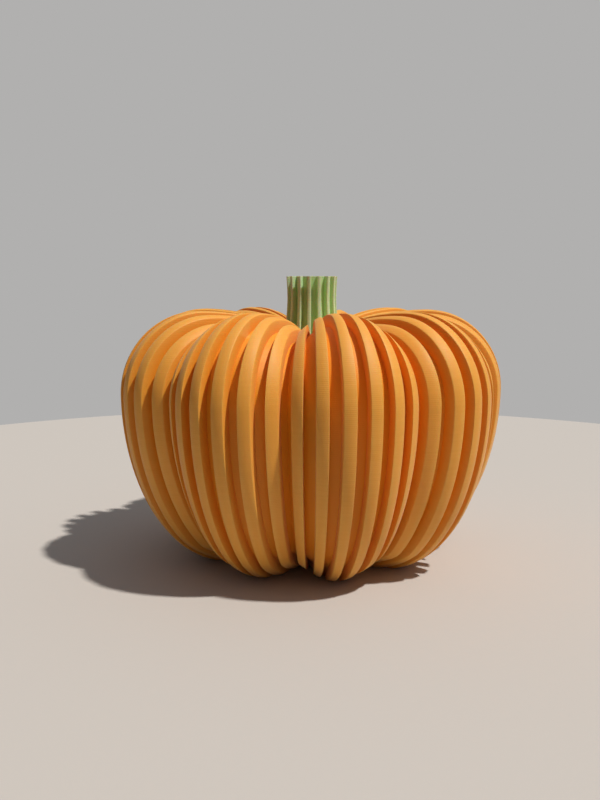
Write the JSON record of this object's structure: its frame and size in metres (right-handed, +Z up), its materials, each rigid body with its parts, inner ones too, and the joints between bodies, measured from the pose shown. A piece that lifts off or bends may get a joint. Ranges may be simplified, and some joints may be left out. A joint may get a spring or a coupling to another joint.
{
  "type": "decorative pumpkin",
  "caption": "Ribbed tabletop pumpkin ornament: rounded lobes of flat-topped vertical ribs, a dipped crown and a separate fluted stem plugged into it, standing on a flat base.",
  "frame": {"origin": "middle of the flat base, on the surface the pumpkin stands on", "axes": "+Z up along the pumpkin's axis, through the stem; a valley between two lobes faces -Y"},
  "size_m": [0.1188, 0.1176, 0.087],
  "materials": {
    "orange_print": "matte, printed in fine level layers",
    "green_print": "matte, printed in fine level layers"
  },
  "bodies": {
    "root": {"body": "orange_print", "stem": "green_print"}
  },
  "joints": []
}
